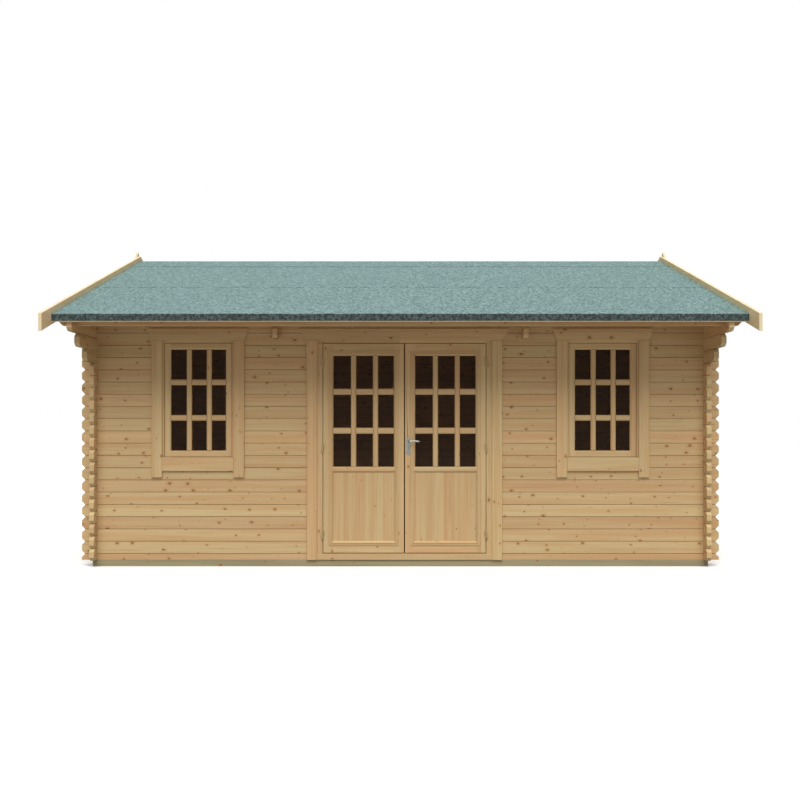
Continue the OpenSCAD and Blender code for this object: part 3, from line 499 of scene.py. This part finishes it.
# ---------------------------------------------------------------- mesh making
class Maker:
    """Collects closed prisms and tubes into one mesh."""

    def __init__(self):
        self.points, self.faces, self.smooth = [], [], []

    def prism(self, origin, u, v, w, outline):
        """The outline, counted along u and v, pushed along w."""
        first, count = len(self.points), len(outline)
        for push in (Vector((0, 0, 0)), w):
            self.points += [origin + u * a + v * b + push for a, b in outline]
        self.faces.append([first + i for i in reversed(range(count))])
        self.faces.append([first + count + i for i in range(count)])
        for i in range(count):
            j = (i + 1) % count
            self.faces.append([first + i, first + j, first + count + j, first + count + i])
        self.smooth += [False] * (count + 2)

    def bar(self, low, high, axis):
        """A glazing bar between two corners, along X or Z, with chamfered edges."""
        u, v = {"x": (Y, Z), "z": (Y, X)}[axis]
        size = high - low
        a, b, c = size.dot(u), size.dot(v), BAR_CHAMFER
        outline = [(0, c), (c, 0), (a - c, 0), (a, c), (a, b - c), (a - c, b), (c, b), (0, b - c)]
        self.prism(low, u, v, size - u * a - v * b, outline)

    def tube(self, path, sizes, sides=20):
        """Oval rings along a path; sizes are the half widths across and up at each point."""
        first = len(self.points)
        for i, (point, (across, up)) in enumerate(zip(path, sizes)):
            ahead = path[min(i + 1, len(path) - 1)] - path[max(i - 1, 0)]
            ahead.normalize()
            v = (Z - ahead * Z.dot(ahead)).normalized()
            u = ahead.cross(v)
            for k in range(sides):
                turn = 2 * math.pi * k / sides
                self.points.append(point + u * across * math.cos(turn) + v * up * math.sin(turn))
        for i in range(len(path) - 1):
            for k in range(sides):
                a, b = first + i * sides + k, first + i * sides + (k + 1) % sides
                self.faces.append([a, a + sides, b + sides, b])
                self.smooth.append(True)
        self.faces.append([first + k for k in range(sides)])
        last = first + (len(path) - 1) * sides
        self.faces.append([last + k for k in reversed(range(sides))])
        self.smooth += [True, True]

    def dome(self, centre, out, radius, height, sides=24, steps=4):
        """A low rounded cap on an upright face, closed at its base."""
        v = out.cross(X)
        first = len(self.points)
        for k in range(steps):
            turn = math.radians(90 * k / steps)
            for i in range(sides):
                spin = 2 * math.pi * i / sides
                flat = (X * math.cos(spin) + v * math.sin(spin)) * radius * math.cos(turn)
                self.points.append(centre + flat + out * height * math.sin(turn))
        self.points.append(centre + out * height)
        for k in range(steps - 1):
            for i in range(sides):
                a, b = first + k * sides + i, first + k * sides + (i + 1) % sides
                self.faces.append([a, b, b + sides, a + sides])
        top, ring = len(self.points) - 1, first + (steps - 1) * sides
        for i in range(sides):
            self.faces.append([ring + i, ring + (i + 1) % sides, top])
        self.faces.append([first + i for i in reversed(range(sides))])
        self.smooth += [True] * (steps * sides) + [False]

    def mitred(self, points, kind, far, low, high):
        """One side of a rectangular frame. points are pairs of inset and Y. far takes the side at high."""
        first, count = len(self.points), len(points)
        for end in (False, True):
            for inset, y in points:
                beside = high.x - inset if (far if kind == "upright" else end) else low.x + inset
                height = high.z - inset if (end if kind == "upright" else far) else low.z + inset
                self.points.append(Vector((beside, y, height)))
        self.faces.append([first + i for i in range(count)])
        self.faces.append([first + count + i for i in reversed(range(count))])
        for i in range(count):
            j = (i + 1) % count
            self.faces.append([first + i, first + count + i, first + count + j, first + j])
        self.smooth += [False] * (count + 2)

    def build(self, name, look, body, slot, round_edges=0.0):
        """Makes the piece, which rides a body; slot is not used."""
        mesh = bpy.data.meshes.new(name)
        mesh.from_pydata([tuple(p) for p in self.points], [], self.faces)
        mesh.polygons.foreach_set("use_smooth", self.smooth)
        mesh.materials.append(MATERIALS[look])
        mesh.update()
        obj = bpy.data.objects.new(name, mesh)
        bpy.context.scene.collection.objects.link(obj)
        face_outwards(mesh)
        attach(obj, body)
        if round_edges:
            soften(obj, round_edges)
        return obj


def face_outwards(mesh):
    bm = bmesh.new()
    bm.from_mesh(mesh)
    bmesh.ops.recalc_face_normals(bm, faces=bm.faces)
    bm.to_mesh(mesh)
    bm.free()


# ---------------------------------------------------------------- the roof
def roof_boards(side):
    """Tongued and grooved boards down one slope. side is -1 for the front and 1 for the back."""
    node = "front_roof_boards" if side < 0 else "back_roof_boards"
    low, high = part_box(node)
    run = high.y - low.y
    board_t = BOARD_T * PLUMB
    drop = (high.z - low.z) - board_t
    groove = 0.006
    count = round((high.x - low.x) / ROOF_BOARD_W)
    width = (high.x - low.x) / count
    maker = Maker()
    slope = Vector((0, side * run, -drop))
    for i in range(count):
        a, b = i * width + GAP, (i + 1) * width - GAP
        outline = [(a, groove), (a + groove, 0), (b - groove, 0), (b, groove), (b, board_t), (a, board_t)]
        maker.prism(Vector((low.x, 0, high.z - board_t)), X, Z, slope, outline)
    boards = maker.build(node.replace("roof_boards", "roof_planks"), "roof", "cabin", "roof_boards")
    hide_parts(node)


def floor_planks():
    """Tongued and grooved boards of the floor."""
    low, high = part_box("floor")
    groove = 0.004
    count = round((high.y - low.y) / FLOOR_BOARD_W)
    width = (high.y - low.y) / count
    maker = Maker()
    top = high.z - low.z
    for i in range(count):
        a, b = i * width + GAP, (i + 1) * width - GAP
        outline = [(a, 0), (b, 0), (b, top - groove), (b - groove, top), (a + groove, top), (a, top - groove)]
        maker.prism(low.copy(), Y, Z, X * (high.x - low.x), outline)
    planks = maker.build("floor_planks", "floor", "cabin", "floor_boards")
    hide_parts("floor")


def felt_sheet(side):
    """One slope's felt: two courses with a lap, and a rounded fold over the fascia."""
    node = "front_felt" if side < 0 else "back_felt"
    low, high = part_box(node)
    slope, plumb = ROOF_SLOPE, FELT_T * PLUMB
    reach = high.y - low.y
    top_z = high.z - plumb

    def surface(y, layers):
        return top_z - y * slope + layers * plumb

    # The lap is a second layer that rises by its edge and fades out up the slope.
    lap_y = reach - FELT_LAP_AT
    lap_end = lap_y - FELT_LAP_W
    edge, fade = 0.002, 0.02
    # The fold goes round a small bend, and the hem hangs a little below the model's.
    fold_r, bend_steps, hem_drop = 0.007, 4, 0.006
    corner = surface(reach - fold_r, 1)
    hem = low.z - hem_drop
    outline = [(0.0, surface(0, 0)), (reach - FELT_T, surface(reach - FELT_T, 0)), (reach - FELT_T, hem),
               (reach, hem)]
    for k in range(bend_steps + 1):
        turn = math.radians(90 * k / bend_steps)
        outline.append((reach - fold_r + fold_r * math.cos(turn), corner - fold_r + fold_r * math.sin(turn)))
    layers = [(lap_y + edge, 1), (lap_y, 1.7), (lap_y - 2 * edge, 2), (lap_end, 2), (lap_end - fade, 1),
              (0.0, 1)]
    outline += [(y, surface(y, count)) for y, count in layers]
    maker = Maker()
    maker.prism(Vector((low.x, 0, 0)), Y * side, Z, X * (high.x - low.x), outline)
    felt = maker.build(node + "_cover", "felt", "cabin", "green_felt")
    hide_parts(node)


def ridge_cap():
    """The sheet of felt over the ridge, with a rounded crest and worn edges."""
    low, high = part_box("ridge_felt")
    slope, plumb = ROOF_SLOPE, FELT_T * PLUMB
    reach, top = high.y, high.z
    crest, crest_rise = 0.03, 0.001
    edge_w, edge_drop = 0.004, 0.0008
    flat = top - crest * slope / 2
    # From the edge up to the crest, on the side of positive Y.
    upper = [(reach, top - reach * slope - edge_drop), (reach - edge_w, top - (reach - edge_w) * slope),
             (crest, top - crest * slope), (crest / 2, flat - crest_rise)]
    under = [(-reach, top - reach * slope - plumb), (0, top - plumb), (reach, top - reach * slope - plumb)]
    outline = under + upper + [(0, flat + crest_rise)] + [(-y, z) for y, z in reversed(upper)]
    maker = Maker()
    maker.prism(Vector((low.x, 0, 0)), Y, Z, X * (high.x - low.x), outline)
    cap = maker.build("ridge_felt_cap", "felt", "cabin", "green_felt")
    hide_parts("ridge_felt")


# ---------------------------------------------------------------- doors and windows
def pane_bars(name, body, glass, faces, upright_w, level_w, narrowing):
    """Two upright and two level bars on each face of the glass, that make nine panes. The panes of
    each column are narrower than those to their left."""
    low, high = glass
    width, height = high.x - low.x, high.z - low.z
    pane_w, pane_h = (width - 2 * upright_w) / 3, (height - 2 * level_w) / 3
    columns = [pane_w + narrowing, pane_w, pane_w - narrowing]
    lefts = [low.x, low.x + columns[0] + upright_w, high.x - columns[2]]
    uprights, levels = Maker(), Maker()
    # The level bars lie a little deeper than the upright ones.
    sunk = 0.0008
    for y0, y1 in ((faces[0], low.y), (high.y, faces[1])):
        for i in (0, 1):
            x0 = lefts[i] + columns[i]
            uprights.bar(Vector((x0, y0, low.z)), Vector((x0 + upright_w, y1, high.z)), "z")
            z0 = low.z + (i + 1) * pane_h + i * level_w
            for left, column in zip(lefts, columns):
                start = Vector((left - GAP, y0 + sunk, z0))
                levels.bar(start, Vector((left + column + GAP, y1 - sunk, z0 + level_w)), "x")
    uprights.build(name + "_upright_bars", "upright", body, "joinery_pine", BAR_ROUNDING)
    levels.build(name + "_level_bars", "level", body, "joinery_pine", BAR_ROUNDING)


def mouldings(side, low, high, faces):
    """A planted moulding on each face of a leaf, mitred round the glass and the lower panel."""
    for kind in ("upright", "level"):
        maker = Maker()
        for face, turned in ((faces[0], 1), (faces[1], -1)):
            points = [(inset, face + turned * depth) for inset, depth in MOULDING]
            for far in (False, True):
                maker.mitred(points, kind, far, low, high)
        maker.build(f"{side}_leaf_{kind}_mouldings", kind, LEAVES[side], "joinery_pine")


def panel_boards(side):
    """The lower panel of a leaf: upright boards with V joints on both faces."""
    node = f"{side}_leaf_panel"
    low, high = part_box(node)
    groove = 0.0007
    width = (high.x - low.x) / PANEL_BOARDS
    depth = high.y - low.y
    maker = Maker()
    for i in range(PANEL_BOARDS):
        a, b = i * width, (i + 1) * width
        outline = [(a + groove, 0), (b - groove, 0), (b, groove), (b, depth - groove), (b - groove, depth),
                   (a + groove, depth), (a, depth - groove), (a, groove)]
        maker.prism(low.copy(), X, Y, Z * (high.z - low.z), outline)
    boards = maker.build(f"{side}_leaf_boards", "panel", LEAVES[side], "joinery_pine")
    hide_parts(node)


def dress_leaf(side):
    """The bars, the mouldings and the panel boards of a leaf."""
    glass, panel, leaf = (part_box(f"{side}_leaf{part}") for part in ("_glass", "_panel", ""))
    width = MOULDING[-1][0] + SPLAY_W
    faces = (leaf[0].y + BAR_INSET, leaf[1].y - BAR_INSET)
    pane_bars(f"{side}_leaf", LEAVES[side], glass, faces, **LEAF_BARS)
    low = Vector((glass[0].x - width, 0, panel[0].z - width))
    high = Vector((glass[1].x + width, 0, glass[1].z + width))
    mouldings(side, low, high, (leaf[0].y, leaf[1].y))
    panel_boards(side)


def dress_window(side):
    """The bars of a window."""
    glass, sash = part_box(f"{side}_window_glass"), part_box(f"{side}_sash")
    faces = (sash[0].y + BAR_INSET, sash[1].y - BAR_INSET)
    pane_bars(f"{side}_window", "cabin", glass, faces, **WINDOW_BARS)


# ---------------------------------------------------------------- ironmongery
def lever():
    """Both levers: a round neck that bends into a slightly bowed arm, with the spindle between them."""
    low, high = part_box("lever_handle")
    plate_low, plate_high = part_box("lock_plates")
    # The model's plain neck, of this radius, starts at the near edge of its box.
    model_neck_r = 0.010
    axis_x = low.x + model_neck_r
    axis_z = (low.z + high.z) / 2
    middle_y = (low.y + high.y) / 2
    half = (high.y - low.y) / 2
    leaf_half = (plate_high.y - plate_low.y) / 2
    neck_r, bend, round_end, spindle_r = 0.0085, 0.013, 0.004, 0.004
    # Half the arm's thickness and half its height at the bend, and what both lose up to the tip.
    arm, arm_taper = (0.0058, 0.0090), (0.0012, 0.0014)
    bow, lean = 0.0022, 0.004
    neck_end = half - bend - 0.005
    arm_length = high.x - axis_x - bend - round_end

    def at(along, out, up=0.0):
        return Vector((axis_x + along, middle_y + side * out, axis_z + up))

    maker = Maker()
    for side in (-1, 1):
        path, sizes = [], []
        for depth in (leaf_half - 0.004, leaf_half + 0.004, neck_end):
            path.append(at(0, depth))
            sizes.append((neck_r, neck_r))
        for k in range(1, 7):
            turn = math.radians(90 * k / 6)
            path.append(at(bend * (1 - math.cos(turn)), neck_end + bend * math.sin(turn)))
            sizes.append((neck_r - 0.0004 * k, neck_r + 0.0001 * k))
        for k in range(1, 13):
            t = k / 12
            path.append(at(bend + arm_length * t, neck_end + bend - lean * t, bow * math.sin(math.pi * t)))
            sizes.append((arm[0] - arm_taper[0] * t, arm[1] - arm_taper[1] * t))
        tip, tip_size = path[-1], sizes[-1]
        for k in range(1, 4):
            t = k / 3
            path.append(tip + X * round_end * t)
            shrink = math.sqrt(1 - (t * 0.97) ** 2)
            sizes.append((tip_size[0] * shrink, tip_size[1] * shrink))
        maker.tube(path, sizes)
    spindle = [Vector((axis_x, middle_y + d, axis_z)) for d in (-leaf_half, leaf_half)]
    maker.tube(spindle, [(spindle_r, spindle_r)] * 2, 16)
    handle = maker.build("lever_pair", "steel", "lever", "satin_steel")
    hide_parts("lever_handle")


def lock_furniture():
    """The key way with its round cylinder, and two screws on each plate; the key way and the screw slots are
    dark bars of painted shade.
    """
    low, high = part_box("lock_plates")
    x = (low.x + high.x) / 2
    key_z = low.z + 0.30 * (high.z - low.z)
    screw_inset, screw_r, screw_h = 0.014, 0.0042, 0.0018
    slot_w, slot_out, slot_depth = 0.001, 0.0013, 0.0008
    cylinder_r, cylinder_h = 0.0085, 0.0022
    key_w, key_h, key_out, key_depth = 0.0026, 0.012, 0.0020, 0.0006
    screws, ways, slots = Maker(), Maker(), Maker()

    def mark(maker, centre_z, face, size, start, depth):
        """A flat bar of the given width and height, centred on the plate, from start outwards."""
        width, tall = size
        corner = Vector((x - width / 2, face + side * start, centre_z - tall / 2))
        maker.prism(corner, X, Z, Y * side * depth, [(0, 0), (width, 0), (width, tall), (0, tall)])

    for side, face in ((-1, low.y), (1, high.y)):
        for z in (low.z + screw_inset, high.z - screw_inset):
            screws.dome(Vector((x, face, z)), Y * side, screw_r, screw_h)
            mark(slots, z, face, (1.5 * screw_r, slot_w), slot_out, slot_depth)
        screws.dome(Vector((x, face, key_z)), Y * side, cylinder_r, cylinder_h)
        mark(ways, key_z, face, (key_w, key_h), key_out, key_depth)
    screws.build("plate_screws", "steel", "right_door", "satin_steel")
    # The key way and the screw slots: raised dark bars, painted shade in place of hollows.
    ways.build("key_ways", "dark", "right_door", "satin_steel")
    slots.build("screw_slots", "dark", "right_door", "satin_steel")


# ---------------------------------------------------------------- the studio
def camera():
    """Looks level at the front from 1.22 m over the ground, with the lens shifted up."""
    away, up = 8.475, 1.16
    data = bpy.data.cameras.new("camera")
    data.sensor_width = 36.0
    data.lens = 41.04
    data.shift_x = -0.0005
    data.shift_y = 0.04375
    data.clip_end = 200.0
    obj = bpy.data.objects.new("camera", data)
    obj.location = (0.0, FRONT_Y - away, BASE_Z + up)
    obj.rotation_euler = (math.radians(90), 0, 0)
    bpy.context.scene.collection.objects.link(obj)
    bpy.context.scene.camera = obj


def sun(name, height, turn, strength, spread):
    """A soft sun, height degrees up, turned from the front round to the right; spread is its width."""
    data = bpy.data.lights.new(name, "SUN")
    data.energy = strength
    data.angle = math.radians(spread)
    obj = bpy.data.objects.new(name, data)
    obj.rotation_euler = (math.radians(90 - height), 0, math.radians(turn))
    bpy.context.scene.collection.objects.link(obj)


def lights():
    """A white world that the camera sees brighter than it lights, and a soft sun on each long side."""
    world_strength, seen_strength = 0.36, 1.0
    scene = bpy.context.scene
    scene.view_settings.view_transform = "Standard"
    world = bpy.data.worlds.new("studio")
    scene.world = world
    world.use_nodes = True
    nodes, links = world.node_tree.nodes, world.node_tree.links
    background = nodes["Background"]
    background.inputs["Color"].default_value = rgba(1.0, 1.0, 1.0)
    path = nodes.new("ShaderNodeLightPath")
    level = nodes.new("ShaderNodeMapRange")
    level.inputs["To Min"].default_value = world_strength
    level.inputs["To Max"].default_value = seen_strength
    links.new(path.outputs["Is Camera Ray"], level.inputs["Value"])
    links.new(level.outputs[0], background.inputs["Strength"])
    sun("key", 55, 0, 3.0, 48)
    sun("rim", 48, 180, 0.9, 60)


def studio_floor():
    """A plain floor, near white to the camera and greyer in the light that it throws back."""
    half = 60.0
    g = Graph("pale_floor")
    p, _ = g.place()
    cloud = g.noise(g.join(p[0], p[1], p[2]), 2.0, scale=0.7)
    seen = g.mix(cloud, rgba(0.97, 0.97, 0.97), rgba(0.99, 0.99, 0.99))
    lit = g.add("LightPath", {}).outputs["Is Camera Ray"]
    g.feed(g.shader.inputs["Base Color"], g.mix(lit, rgba(0.40, 0.40, 0.39), seen))
    g.shader.inputs["Roughness"].default_value = 0.9
    g.shader.inputs["Specular IOR Level"].default_value = 0.0
    mesh = bpy.data.meshes.new("studio_floor")
    corners = [(-half, -half, 0), (half, -half, 0), (half, half, 0), (-half, half, 0)]
    mesh.from_pydata(corners, [], [(0, 1, 2, 3)])
    mesh.materials.append(g.material)
    floor = bpy.data.objects.new("studio_floor", mesh)
    bpy.context.scene.collection.objects.link(floor)


camera()
lights()
studio_floor()
dress_cad_nodes()
for side in (-1, 1):
    roof_boards(side)
    felt_sheet(side)
ridge_cap()
floor_planks()
for side in LEAVES:
    dress_leaf(side)
    dress_window(side)
lever()
lock_furniture()
